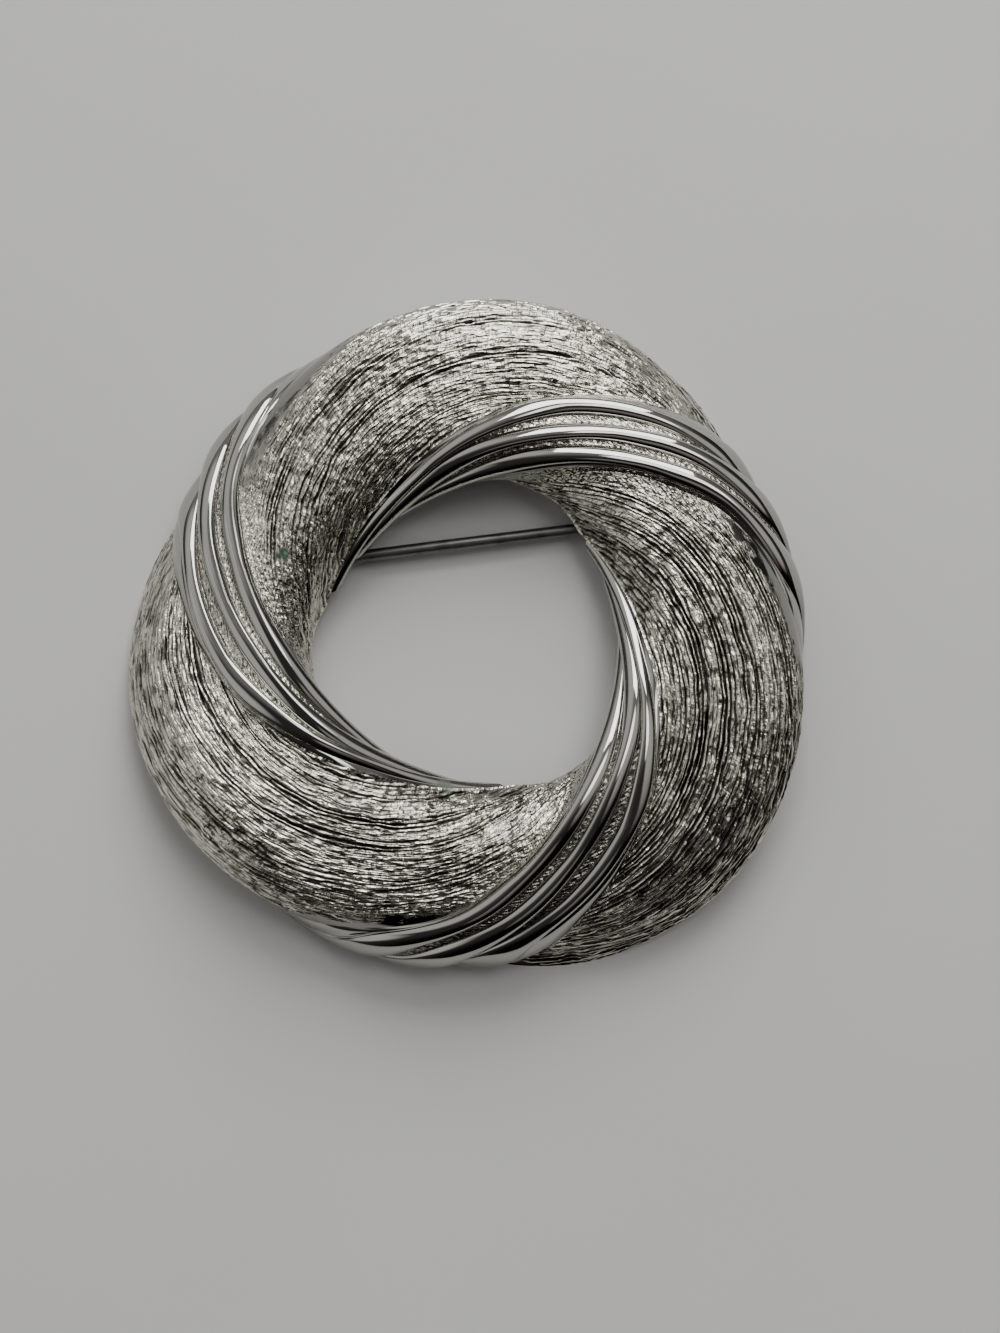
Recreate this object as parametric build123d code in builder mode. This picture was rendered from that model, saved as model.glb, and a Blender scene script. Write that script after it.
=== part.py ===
"""Circle brooch: a cast ring like a rope twisted from three textured lobes and three
bands of polished ribs, hollow at the back, with a hinged pin stem and a catch.

The brooch lies face up: +Z is out of its face, the plane z = 0 is its back, and the pin
lies along X on the +Y side of the centre, with its hinge at -X and its catch at +X.
"""

import math
import os
from collections import namedtuple

from build123d import *

# Ring, in millimetres and degrees
strands = 3                 # lobe and band pairs that twist round the tube
ring_mid_radius = 17.8      # middle of the twisted tube, from the brooch's centre
tube_half_width = 7.5       # tube's reach towards the outer and the inner edge
crown_height = 4.6          # tube's reach upwards at its crown
widest_height = 1.9         # where the outer wall is widest, above the back
inner_rise = 1.2            # how much higher the inner edge lies than the outer edge
first_notch = 34.8          # ring angle of the first notch in the outer edge
section_step = 4.0          # ring angle between two sections of the tube
third_start = 30.0          # ring angle from a notch to the start of a third of the ring

# Ribs of a band
rib_rise = 0.55             # height of a rib's top above the grooves beside it
rib_share = 0.56            # share of the spacing between ribs that a rib takes up
rib_foot_share = 0.20       # share of its rise that a rib keeps where it meets a rim
rib_fade = 16.0             # tube angle over which a rib dies out towards a rim
rib_past_inner = 10.0       # tube angle past the inner edge where a rib has died out
rib_past_outer = 14.0       # tube angle below the outer edge where a rib has died out
flank_swell = 0.10          # how far the smooth flank stands out of its chord
lobe_arcs = 4               # arcs that make up the round of a lobe in a section

# Hollow back
wall = 1.5                  # wall of the casting
post_bite = 0.35            # how deep the findings' posts reach into the wall
inner_rim_height = 2.2      # underside of the inner rim, above the back
hollow_spread = 24.0        # tube angle over which the hollow smooths the strands' shape
hollow_step = 7.5           # ring angle between two sections of the hollow
cut_margin = 1.0            # how far cutting shapes run past what they cut

# Pin stem
pin_offset = 7.4            # pin's axis, from the brooch's centre towards +Y
pin_height = 1.2            # pin's axis, above the back
pin_radius = 0.45           # wire of the stem
pin_tip_radius = 0.10       # rounded point
pin_taper_length = 6.0      # stretch that narrows to the point
hinge_reach = 15.5          # hinge axis, from the brooch's centre towards -X
catch_reach = 15.5          # middle of the catch, towards +X
pin_past_catch = 1.2        # point's reach past the catch
eye_radius = 0.95           # outside of the stem's eye
eye_width = 1.2             # eye, along the hinge axis

# Hinge
rivet_radius = 0.40         # rivet through the ears and the eye
rivet_clearance = 0.05      # radial play of the eye on the rivet
rivet_head_radius = 0.70    # domed rivet head
rivet_head_height = 0.25    # head, outside an ear
ear_gap = 0.12              # play between the eye and each ear
ear_thickness = 0.80        # ear, along the hinge axis
ear_length = 2.4            # ear, along the pin
ear_round = 0.85            # radius of an ear's lower end about the rivet
post_clearance = 0.30       # air between the eye and the post above it

# Catch
catch_radius = 1.25         # round body of the catch
catch_length = 3.0          # catch, along the pin
catch_lift = 0.20           # air between the catch and the back plane
slot_width = 1.30           # slot that takes the pin, open at the back
slot_clearance = 0.20       # air above the pin in the slot
catch_post_width = 2.0      # post that carries the catch

# Lines that run with a strand. The columns behind_ say how many degrees round the ring a
# line lies behind its notch, where it crosses the tube angles 0 (outer edge) to 360.
# The columns at_ give its reach from the tube's middle, as a share of tube_half_width at
# the outer and inner edge and of crown_height at the crown.
tube_angles = (0, 30, 60, 90, 120, 150, 180, 240, 300, 360)
StrandLine = namedtuple(
    "StrandLine",
    "behind_outer behind_30 behind_60 behind_crown behind_120 behind_150 behind_inner "
    "behind_240 behind_300 at_outer at_crown at_inner",
)
lines = {
    "notch": StrandLine(0, 8, 20.5, 33.5, 47, 72, 114, 198, 281, 0.70, 0.80, 0.90),
    "rib_a": StrandLine(-13, -4, 12, 27, 41, 65, 104, 189, 270, 0.82, 0.98, 0.97),
    "rib_b": StrandLine(-25, -14, 0, 12.5, 28, 56, 90, 174, 257, 0.88, 1.00, 1.00),
    "rib_c": StrandLine(-36, -26, -10.5, 1, 15, 38, 74, 158, 241, 0.90, 1.00, 0.97),
    "seam": StrandLine(-54, -34, -15, -5, 6, 19, 32, 122, 207, 0.86, 0.80, 0.74),
    "crest": StrandLine(-87, -73, -57, -46, -33, -14, 12, 100, 184, 1.07, 1.02, 0.79),
}
reach_columns = 3


def smooth_path(steps):
    """Spans of a smooth curve through one line's steps, each with its end slopes."""
    steps = [*steps, steps[0] + 360]
    last = len(steps) - 1
    widths = [tube_angles[i + 1] - tube_angles[i] for i in range(last)]
    rates = [(steps[i + 1] - steps[i]) / widths[i] for i in range(last)]
    slopes = []
    for i in range(last + 1):
        before, after = rates[(i - 1) % last], rates[i % last]
        slopes.append(2 * before * after / (before + after))
    return [
        (tube_angles[i], widths[i], steps[i], steps[i + 1], slopes[i], slopes[i + 1])
        for i in range(last)
    ]


def step_at(span, t):
    """Degrees behind the notch at the share t of one span."""
    _, width, start, end, slope, next_slope = span
    return (start * (2 * t**3 - 3 * t**2 + 1) + slope * width * (t**3 - 2 * t**2 + t)
            + end * (3 * t**2 - 2 * t**3) + next_slope * width * (t**3 - t**2))


def line_angle(name, ring_angle):
    """Tube angle at which a line crosses the section at a ring angle."""
    spans = paths[name]
    turns, place = divmod(ring_angle - spans[0][2], 360)
    place += spans[0][2]
    span = [s for s in spans if s[2] <= place][-1]
    low, high = 0.0, 1.0
    while high - low > 1e-9:
        middle = (low + high) / 2
        if step_at(span, middle) < place:
            low = middle
        else:
            high = middle
    return span[0] + low * span[1] + 360 * turns


def line_step(name, tube_angle):
    """Degrees behind the notch at which a line crosses a tube angle."""
    turns, place = divmod(tube_angle, 360)
    span = [s for s in paths[name] if s[0] <= place][-1]
    return step_at(span, (place - span[0]) / span[1]) + 360 * turns


def steps_of(name):
    """A line's steps round the ring, without its reaches."""
    return lines[name][:-reach_columns]


# The named lines and the two edges of each rib, as smooth paths
paths = {name: smooth_path(steps_of(name)) for name in lines}
for rib, other in (("rib_a", "rib_b"), ("rib_b", "rib_c"), ("rib_c", "rib_b")):
    for side in (-1, 1):
        paths[rib, side] = smooth_path([
            step - side * rib_share / 2 * abs(step - beside)
            for step, beside in zip(steps_of(rib), steps_of(other))
        ])


def reach(name, tube_angle):
    """Distance of a line from the tube's middle at a tube angle."""
    row = lines[name]
    side = math.cos(math.radians(tube_angle))
    edge = row.at_outer if side > 0 else row.at_inner
    return (row.at_crown * crown_height * (1 - side**2)
            + edge * tube_half_width * side**2)


def on_section(tube_angle, distance):
    """Point of a section, as radius and height, from its tube angle and reach."""
    side = math.cos(math.radians(tube_angle))
    up = math.sin(math.radians(tube_angle))
    rise = inner_rise * (1 - side) / 2
    return (ring_mid_radius + distance * side, widest_height + distance * up + rise)


def section_plane(ring_angle):
    """Upright plane through the axis, its x outwards and its y up."""
    turn = math.radians(ring_angle)
    return Plane(
        origin=(0, 0, 0),
        x_dir=(math.cos(turn), math.sin(turn), 0),
        z_dir=(math.sin(turn), -math.cos(turn), 0),
    )


def rise_at(tube_angle):
    """Rise of a rib, which dies out below the outer edge and past the inner edge."""
    place = (tube_angle + 90) % 360 - 90
    left = place + rib_past_outer if place < 90 else 180 + rib_past_inner - place
    return rib_rise * min(1.0, max(rib_foot_share, left / rib_fade))


def rib_points(rib, ring_angle):
    """Start, top and end of a rib in the section."""
    top = line_angle(rib, ring_angle)
    first = line_angle((rib, -1), ring_angle)
    last = line_angle((rib, 1), ring_angle)
    return (
        on_section(first, reach(rib, first) - rise_at(first)),
        on_section(top, reach(rib, top)),
        on_section(last, reach(rib, last) - rise_at(last)),
    )


def lobe_point(share, ring_angle, seam_angle, notch_angle):
    """Point of a lobe between its seam (0) and the next notch (1), rounded over its crest."""
    tube_angle = seam_angle + (notch_angle - seam_angle) * share
    seam_step = line_step("seam", tube_angle)
    notch_step = line_step("notch", tube_angle) - 360 / strands
    across = (seam_step - ring_angle) / (seam_step - notch_step)
    low = reach("seam" if across < 0.5 else "notch", tube_angle)
    swell = math.sin(math.pi * across)
    return on_section(tube_angle, low + (reach("crest", tube_angle) - low) * swell)


def tube_section(ring_angle):
    """Face of the twisted tube in one upright plane."""
    with BuildSketch(section_plane(ring_angle)) as section:
        with BuildLine():
            for strand in range(strands):
                # each strand lies a third of a turn round from the last one
                here = ring_angle + 360 / strands * strand
                ahead = here + 360 / strands
                notch_angle = line_angle("notch", here)
                next_notch = line_angle("notch", ahead)
                seam_angle = line_angle("seam", here)
                notch = on_section(notch_angle, reach("notch", notch_angle))
                seam = on_section(seam_angle, reach("seam", seam_angle))
                rib_a = rib_points("rib_a", here)
                rib_b = rib_points("rib_b", here)
                rib_c = rib_points("rib_c", here)
                flank_angle = (line_angle(("rib_c", 1), here) + seam_angle) / 2
                flank_reach = (reach("rib_c", flank_angle) - rise_at(flank_angle)
                               + reach("seam", flank_angle)) / 2 + flank_swell
                lobe = [
                    lobe_point(i / (2 * lobe_arcs), here, seam_angle, next_notch)
                    for i in range(2 * lobe_arcs + 1)
                ]
                Line(notch, rib_a[0])
                ThreePointArc(*rib_a)
                Line(rib_a[2], rib_b[0])
                ThreePointArc(*rib_b)
                Line(rib_b[2], rib_c[0])
                ThreePointArc(*rib_c)
                ThreePointArc(rib_c[2], on_section(flank_angle, flank_reach), seam)
                for i in range(0, 2 * lobe_arcs, 2):
                    ThreePointArc(*lobe[i:i + 3])
        make_face()
    return section.sketch.face()


def mean_reach(tube_angle, ring_angle):
    """Reach of the strands round a tube angle, smoothed over hollow_spread."""
    marks = []
    for name in ("notch", "rib_b", "seam", "crest"):
        for strand in range(-strands, 2 * strands):
            angle = line_angle(name, ring_angle + 360 / strands * strand)
            marks.append((angle, reach(name, angle)))
    marks.sort()
    samples = []
    for share in (-1.0, -0.5, 0.0, 0.5, 1.0):
        place = tube_angle + share * hollow_spread
        after = next(i for i, mark in enumerate(marks) if mark[0] > place)
        (low, low_reach), (high, high_reach) = marks[after - 1], marks[after]
        samples.append(low_reach + (high_reach - low_reach) * (place - low) / (high - low))
    return sum(samples) / len(samples)


def hollow_section(ring_angle):
    """Face of the space inside and under the ring in one upright plane."""
    clear = ring_mid_radius - tube_half_width - cut_margin
    with BuildSketch(section_plane(ring_angle)) as section:
        with BuildLine():
            roof = [
                on_section(angle, mean_reach(angle, ring_angle) - wall)
                for angle in (-10, 22, 55, 90, 125, 152, 180)
            ]
            ThreePointArc(*roof[0:3])
            ThreePointArc(*roof[2:5])
            ThreePointArc(*roof[4:7])
            Polyline(
                roof[-1],
                (roof[-1][0], inner_rim_height),
                (clear, inner_rim_height),
                (clear, -cut_margin),
                (roof[0][0], -cut_margin),
                roof[0],
            )
        make_face()
    return section.sketch.face()


def angles(first, last, step):
    """Angles from first to last, evenly spaced by about step."""
    count = round((last - first) / step)
    return [first + (last - first) * i / count for i in range(count + 1)]


# One third of the ring, between two planes through its axis
third_end = third_start + 360 / strands
tube_angles_round = angles(third_start, third_end, section_step)
hollow_angles_round = angles(third_start - hollow_step, third_end + hollow_step, hollow_step)
with BuildPart() as ring_third:
    loft(sections=[tube_section(a) for a in tube_angles_round], clean=False)
    split(bisect_by=Plane.XY, keep=Keep.TOP)
    hollows = [hollow_section(a) for a in hollow_angles_round]
    loft(sections=hollows, clean=False, mode=Mode.SUBTRACT)

# Places of the findings
post_foot = pin_height + eye_radius + post_clearance
post_top = widest_height + crown_height + inner_rise / 2 - wall + post_bite
ear_centre = eye_width / 2 + ear_gap + ear_thickness / 2
catch_height = catch_lift + catch_radius
slot_top = pin_height + pin_radius + slot_clearance
ear_outside = ear_centre + ear_thickness / 2

with BuildPart() as findings:
    # hinge post with its two ears
    with Locations((-hinge_reach, pin_offset, (post_foot + post_top) / 2)):
        Box(ear_length, 2 * ear_outside, post_top - post_foot)
    for side in (-1, 1):
        with BuildSketch(Plane.XZ.offset(-(pin_offset + side * ear_centre))):
            with Locations((-hinge_reach, pin_height)):
                Circle(ear_round)
            with Locations((-hinge_reach, (pin_height + post_foot + ear_gap) / 2)):
                Rectangle(2 * ear_round, post_foot + ear_gap - pin_height)
        extrude(amount=ear_thickness / 2, both=True)
    # catch on its post
    with Locations((catch_reach, pin_offset, (catch_height + post_top) / 2)):
        Box(catch_length, catch_post_width, post_top - catch_height)
    with BuildSketch(Plane.YZ.offset(catch_reach)):
        with Locations((pin_offset, catch_height)):
            Circle(catch_radius)
    extrude(amount=catch_length / 2, both=True)
    # slot for the pin and hole for the rivet
    with BuildSketch(Plane.YZ.offset(catch_reach)):
        with Locations((pin_offset, slot_top - slot_width / 2)):
            Circle(slot_width / 2)
        with Locations((pin_offset, (slot_top - slot_width / 2) / 2)):
            Rectangle(slot_width, slot_top - slot_width / 2)
    extrude(amount=catch_length, both=True, mode=Mode.SUBTRACT)
    with BuildSketch(Plane.XZ.offset(-pin_offset)):
        with Locations((-hinge_reach, pin_height)):
            Circle(rivet_radius)
    extrude(amount=ear_outside + ear_gap, both=True, mode=Mode.SUBTRACT)

with BuildPart() as swirl_ring:
    with PolarLocations(0, strands, start_angle=first_notch):
        add(ring_third.part, clean=False)
    add(findings.part, clean=False)
swirl_ring.part.label = "swirl_ring"

with BuildPart() as hinge_rivet:
    with BuildSketch(Plane.XZ.offset(-pin_offset)):
        with Locations((-hinge_reach, pin_height)):
            Circle(rivet_radius)
    extrude(amount=ear_outside, both=True)
    for side in (-1, 1):
        head_plane = Plane.XZ.offset(-(pin_offset + side * (ear_outside + rivet_head_height / 2)))
        with BuildSketch(head_plane):
            with Locations((-hinge_reach, pin_height)):
                Circle(rivet_head_radius)
        extrude(amount=rivet_head_height / 2, both=True)
    rim = hinge_rivet.edges().filter_by(GeomType.CIRCLE).group_by(SortBy.RADIUS)[-1]
    outermost = rim.group_by(Axis.Y)[0] + rim.group_by(Axis.Y)[-1]
    fillet(outermost, radius=rivet_head_height * 0.8)
hinge_rivet.part.label = "hinge_rivet"

with BuildPart() as pin_stem:
    point = catch_reach + catch_length / 2 + pin_past_catch
    with BuildSketch(Plane.XZ.offset(-pin_offset)):
        with Locations((-hinge_reach, pin_height)):
            Circle(eye_radius)
    extrude(amount=eye_width / 2, both=True)
    with BuildSketch(Plane.XZ.offset(-pin_offset)):
        with BuildLine():
            Line((-hinge_reach, pin_height), (point, pin_height))
            ThreePointArc(
                (point, pin_height),
                (point - pin_tip_radius * (1 - math.sqrt(0.5)),
                 pin_height + pin_tip_radius * math.sqrt(0.5)),
                (point - pin_tip_radius, pin_height + pin_tip_radius),
            )
            Polyline(
                (point - pin_tip_radius, pin_height + pin_tip_radius),
                (point - pin_taper_length, pin_height + pin_radius),
                (-hinge_reach, pin_height + pin_radius),
                (-hinge_reach, pin_height),
            )
        make_face()
    revolve(axis=Axis((0, pin_offset, pin_height), (1, 0, 0)))
    with BuildSketch(Plane.XZ.offset(-pin_offset)):
        with Locations((-hinge_reach, pin_height)):
            Circle(rivet_radius + rivet_clearance)
    extrude(amount=eye_width, both=True, mode=Mode.SUBTRACT)
pin_stem.part.label = "pin_stem"

os.makedirs("parts", exist_ok=True)
for piece in (swirl_ring, hinge_rivet, pin_stem):
    export_step(piece.part, f"parts/{piece.part.label}.step")
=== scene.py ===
"""Circle brooch: the finish of a cast, silver-tone ring that twists like a rope.

Three engraved lobes and three bands of polished ribs are laid round one tube, over a hollow
back with a hinge mount and a catch. Everything is in metres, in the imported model's frame.
"""

import logging
import math
from dataclasses import dataclass
from enum import Enum

import bpy
import numpy as np
from mathutils import Matrix, Vector


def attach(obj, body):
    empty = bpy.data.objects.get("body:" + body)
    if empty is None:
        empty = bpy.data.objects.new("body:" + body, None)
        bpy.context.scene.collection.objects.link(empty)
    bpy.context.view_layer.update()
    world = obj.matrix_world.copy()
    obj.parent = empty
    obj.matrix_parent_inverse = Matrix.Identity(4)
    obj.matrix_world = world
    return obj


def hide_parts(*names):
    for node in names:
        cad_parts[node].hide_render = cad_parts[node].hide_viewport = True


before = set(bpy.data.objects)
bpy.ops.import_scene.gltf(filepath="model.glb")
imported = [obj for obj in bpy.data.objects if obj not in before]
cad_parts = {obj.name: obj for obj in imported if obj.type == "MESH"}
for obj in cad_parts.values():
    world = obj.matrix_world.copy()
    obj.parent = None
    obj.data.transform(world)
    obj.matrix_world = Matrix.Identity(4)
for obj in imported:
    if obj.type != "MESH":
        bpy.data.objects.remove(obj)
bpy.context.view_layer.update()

log = logging.getLogger("brooch")

Field = np.ndarray
Relief = tuple[Field, Field, Field]
Piece = bpy.types.Object
Pair = tuple[float, float]
Triple = tuple[float, float, float]
Colour = tuple[float, float, float, float]
Inputs = dict[str | int, object]
MM = 0.001
TUBE_ANGLES = np.array((0, 30, 60, 90, 120, 150, 180, 240, 300, 360), float)
HASH_X, HASH_Y, HASH_SEED, HASH_LAST = 374761393, 668265263, 2246822519, 1274126177
GRAIN_JITTER = 0.6
GRAIN_RADIUS = 0.62
BAND_SEED, LOBE_SEED, SEED_STEP = 71, 11, 20


def steps(low: float, high: float, value: Field) -> Field:
    """Smooth step from 0 at low to 1 at high."""
    t = np.clip((value - low) / (high - low), 0.0, 1.0)
    return t * t * (3 - 2 * t)


def hashed(a: Field, b: Field, seed: int) -> Field:
    """Repeatable numbers from 0 to 1, one for each whole-number place."""
    n = a.astype(np.int64) * HASH_X + b.astype(np.int64) * HASH_Y + seed * HASH_SEED
    n = (n ^ (n >> 13)) * HASH_LAST & 0x7FFFFFFF
    n = (n ^ (n >> 16)) & 0xFFFF
    return n / 65535.0


def value_noise(x: Field, y: Field, seed: int) -> Field:
    """Smooth noise from 0 to 1 over a lattice of unit cells."""
    x0, y0 = np.floor(x), np.floor(y)
    u, v = steps(0, 1, x - x0), steps(0, 1, y - y0)
    low = hashed(x0, y0, seed) * (1 - u) + hashed(x0 + 1, y0, seed) * u
    high = hashed(x0, y0 + 1, seed) * (1 - u) + hashed(x0 + 1, y0 + 1, seed) * u
    return low * (1 - v) + high * v


def grains(uv: Field, size: float, seed: int) -> Field:
    """Field of round grains of a size, 1 at a grain's top and 0 between grains."""
    x, y = uv[..., 0] / size, uv[..., 1] / size
    x0, y0 = np.floor(x), np.floor(y)
    nearest = np.full(x.shape, np.inf)
    inset = (1 - GRAIN_JITTER) / 2
    for dx in (-1, 0, 1):
        for dy in (-1, 0, 1):
            cx = x0 + dx + inset + GRAIN_JITTER * hashed(x0 + dx, y0 + dy, seed)
            cy = y0 + dy + inset + GRAIN_JITTER * hashed(x0 + dx, y0 + dy, seed + 1)
            nearest = np.minimum(nearest, np.hypot(x - cx, y - cy))
    return np.sqrt(np.clip(1 - (nearest / GRAIN_RADIUS) ** 2, 0, 1))


def put_in_scene(name: str, data: bpy.types.ID) -> Piece:
    """Adds an object with this data."""
    item = bpy.data.objects.new(name, data)
    bpy.context.scene.collection.objects.link(item)
    item.rotation_mode = "QUATERNION"
    return item


@dataclass(frozen=True)
class StrandLine:
    """A line that runs with a strand round the tube.

    Attributes:
        behind: Degrees of ring angle behind the notch where it crosses each tube angle.
        at_outer: Reach at the outer edge, as a share of the tube's half width.
        at_crown: Reach at the crown, as a share of the crown's height.
        at_inner: Reach at the inner edge, as a share of the tube's half width.
    """

    behind: tuple[float, ...]
    at_outer: float
    at_crown: float
    at_inner: float

    def ring_angle(self, tube_angle: Field) -> Field:
        """Degrees behind the notch at each tube angle, on a smooth path."""
        rows = np.array([*self.behind, self.behind[0] + 360.0])
        widths = np.diff(TUBE_ANGLES)
        rates = np.diff(rows) / widths
        before = np.roll(rates, 1)
        slopes = 2 * before * rates / (before + rates)
        slopes = np.append(slopes, slopes[0])
        turns = np.floor(tube_angle / 360)
        place = tube_angle - 360 * turns
        i = np.clip(np.searchsorted(TUBE_ANGLES, place, side="right") - 1, 0, len(widths) - 1)
        t = (place - TUBE_ANGLES[i]) / widths[i]
        path = (
            rows[i] * (2 * t**3 - 3 * t**2 + 1) + rows[i + 1] * (3 * t**2 - 2 * t**3)
            + widths[i] * (slopes[i] * (t**3 - 2 * t**2 + t) + slopes[i + 1] * (t**3 - t**2))
        )
        return path + 360 * turns


class Line(StrandLine, Enum):
    """The lines that bound a strand's forms."""

    NOTCH = (0, 8, 20.5, 33.5, 47, 72, 114, 198, 281), 0.70, 0.80, 0.90
    RIB_A = (-13, -4, 12, 27, 41, 65, 104, 189, 270), 0.82, 0.98, 0.97
    RIB_B = (-25, -14, 0, 12.5, 28, 56, 90, 174, 257), 0.88, 1.00, 1.00
    RIB_C = (-36, -26, -10.5, 1, 15, 38, 74, 158, 241), 0.90, 1.00, 0.97
    SEAM = (-54, -34, -15, -5, 6, 19, 32, 122, 207), 0.86, 0.80, 0.74
    CREST = (-87, -73, -57, -46, -33, -14, 12, 100, 184), 1.07, 1.02, 0.79


@dataclass(frozen=True)
class TwistedTube:
    """The tube that the strands twist round, with its hollow back."""

    strands: int = 3
    mid_radius: float = 17.8 * MM
    half_width: float = 7.5 * MM
    crown_height: float = 4.6 * MM
    widest_height: float = 1.9 * MM
    inner_rise: float = 1.2 * MM
    first_notch: float = 34.8
    inner_rim_height: float = 2.2 * MM
    wall: float = 1.5 * MM
    hollow_spread: float = 24.0
    hollow_first: float = -10.0
    hollow_last: float = 180.0

    def reach(self, line: Line, tube_angle: Field) -> Field:
        """Distance of a line from the tube's middle at each tube angle."""
        side = np.cos(np.radians(tube_angle))
        edge = np.where(side > 0, line.at_outer, line.at_inner)
        return (line.at_crown * self.crown_height * (1 - side**2)
                + edge * self.half_width * side**2)

    def height(self, tube_angle: Field, distance: Field) -> Field:
        """Height above the back plane."""
        side = np.cos(np.radians(tube_angle))
        rise = self.inner_rise * (1 - side) / 2
        return self.widest_height + distance * np.sin(np.radians(tube_angle)) + rise

    def radius(self, tube_angle: Field, distance: Field) -> Field:
        """Distance from the ring's axis."""
        return self.mid_radius + distance * np.cos(np.radians(tube_angle))

    def place(self, ring_angle: Field, radius: Field, height: Field) -> Field:
        """Points in the model's frame, from ring angle, radius and height."""
        turn = np.radians(ring_angle + self.first_notch)
        return np.stack((radius * np.cos(turn), radius * np.sin(turn), height), axis=-1)

    def walked(self, tube_angle: Field) -> Field:
        """Length round the section from its foot, over the crests."""
        probe = np.linspace(-70.0, 240.0, 800)
        reach = self.reach(Line.CREST, probe)
        way = np.hypot(np.diff(self.radius(probe, reach)), np.diff(self.height(probe, reach)))
        return np.interp(tube_angle, probe, np.concatenate(([0.0], np.cumsum(way))))

    def plain_distance(self, ring_angle: Field, tube_angle: Field) -> Field:
        """Reach of the strands without their ribs, anywhere on the tube."""
        pitch = 360 / self.strands
        notch = Line.NOTCH.ring_angle(tube_angle)
        band = notch - Line.SEAM.ring_angle(tube_angle)
        past = np.mod(notch - ring_angle, pitch)
        across_band = np.clip(past / band, 0, 1)
        across_lobe = np.clip((past - band) / (pitch - band), 0, 1)
        low = self.reach(Line.NOTCH, tube_angle)
        seam = self.reach(Line.SEAM, tube_angle)
        on_band = low + (seam - low) * across_band
        on_band += (self.reach(Line.RIB_B, tube_angle) - on_band) * np.sin(np.pi * across_band)
        on_lobe = seam + (low - seam) * across_lobe
        on_lobe += (self.reach(Line.CREST, tube_angle) - on_lobe) * np.sin(np.pi * across_lobe)
        return np.where(past < band, on_band, on_lobe)

    def hollow_distance(self, ring_angle: Field, tube_angle: Field) -> Field:
        """Reach of the hollow: the strands' own, smoothed, less the wall."""
        shares = (-1.0, -0.5, 0.0, 0.5, 1.0)
        total = sum(self.plain_distance(ring_angle, tube_angle + share * self.hollow_spread)
                    for share in shares)
        return total / len(shares) - self.wall


@dataclass(frozen=True)
class StrandWork:
    """How one strand is worked, and how dark its hollows are painted: patina together with
    painted shade, set strand by strand.

    Attributes:
        band: Its band's name.
        lobe: Its lobe's name.
        patch: Darkness of the pebbled patches.
        smooth_start: Size of the lobe's polished start, 1 for the largest.
        groove: Darkness between the grooves' pebbles.
        line_width: Width of the flank's dark line, as a share of the flank.
        line: Darkness of the engraved lines.
        dash: Darkness of the dashes across them.
    """

    band: str
    lobe: str
    patch: float
    smooth_start: float
    groove: float
    line_width: float
    line: float
    dash: float


# darkness values per strand: patina in the hollows together with painted shade for the light each
# strand gets where it lies
STRANDS = (
    StrandWork("band_top", "lobe_right", 1.3, 0.8, 0.78, 0.10, 2.1, 0.40),
    StrandWork("band_bottom", "lobe_left", 0.9, 0.3, 1.15, 0.06, 2.0, 0.38),
    StrandWork("band_left", "lobe_top", 0.45, 1.0, 0.78, 0.035, 1.3, 0.22),
)


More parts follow.
